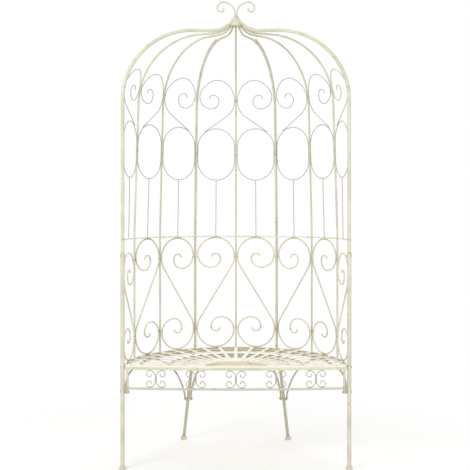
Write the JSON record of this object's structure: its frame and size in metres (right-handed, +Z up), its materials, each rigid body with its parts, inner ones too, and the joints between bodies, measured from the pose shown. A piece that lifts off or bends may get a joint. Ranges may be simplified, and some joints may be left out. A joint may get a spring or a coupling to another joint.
{
  "type": "iron garden bench",
  "caption": "Half-round slatted iron garden bench with a caged back of hearts and scrolls that closes in an ogee dome with a scrolled finial.",
  "frame": {"origin": "on the floor, under the middle of the bench's bounding box", "axes": "+Z up, -Y the open front of the bench, +X to the sitter's left"},
  "size_m": [1.0384, 0.5961, 2.0852],
  "materials": {
    "frame_paint": "aged matt",
    "seat_paint": "aged matt",
    "fastener_paint": "worn to rust"
  },
  "bodies": {
    "root": {"front_post_left": "frame_paint", "front_post_right": "frame_paint", "front_arch_left": "frame_paint", "front_arch_right": "frame_paint", "back_rod_centre": "frame_paint", "back_edge_rod_left": "frame_paint", "back_edge_rod_right": "frame_paint", "side_edge_rod_left": "frame_paint", "side_edge_rod_right": "frame_paint", "side_rear_rod_left": "frame_paint", "side_rear_rod_right": "frame_paint", "side_front_rod_left": "frame_paint", "side_front_rod_right": "frame_paint", "arm_ring_back": "frame_paint", "arm_ring_left": "frame_paint", "arm_ring_right": "frame_paint", "scroll_back_left": "frame_paint", "scroll_back_right": "frame_paint", "scroll_rear_left": "frame_paint", "scroll_rear_right": "frame_paint", "scroll_middle_left": "frame_paint", "scroll_middle_right": "frame_paint", "scroll_front_left": "frame_paint", "scroll_front_right": "frame_paint", "hearts_back": "frame_paint", "hearts_left": "frame_paint", "hearts_right": "frame_paint", "ovals_back": "frame_paint", "ovals_left": "frame_paint", "ovals_right": "frame_paint", "spindles_back": "frame_paint", "spindles_left": "frame_paint", "spindles_right": "frame_paint", "seat_rim": "frame_paint", "seat_front_rail": "frame_paint", "seat_hub": "frame_paint", "seat_hub_plate": "seat_paint", "seat_bearer_inner": "frame_paint", "seat_bearer_outer": "frame_paint", "seat_slats": "seat_paint", "apron_rail": "frame_paint", "apron_uprights": "frame_paint", "apron_scrolls": "frame_paint", "rear_leg_left": "frame_paint", "rear_leg_right": "frame_paint", "rear_braces_left": "frame_paint", "rear_braces_right": "frame_paint", "front_braces": "frame_paint", "feet": "frame_paint", "crown": "frame_paint", "finial_left": "frame_paint", "finial_right": "frame_paint", "seam_bolts": "fastener_paint", "seam_nuts": "fastener_paint", "seat_bolts": "fastener_paint", "seat_nuts": "fastener_paint", "frame_bolts": "fastener_paint", "frame_nuts": "fastener_paint"}
  },
  "joints": []
}
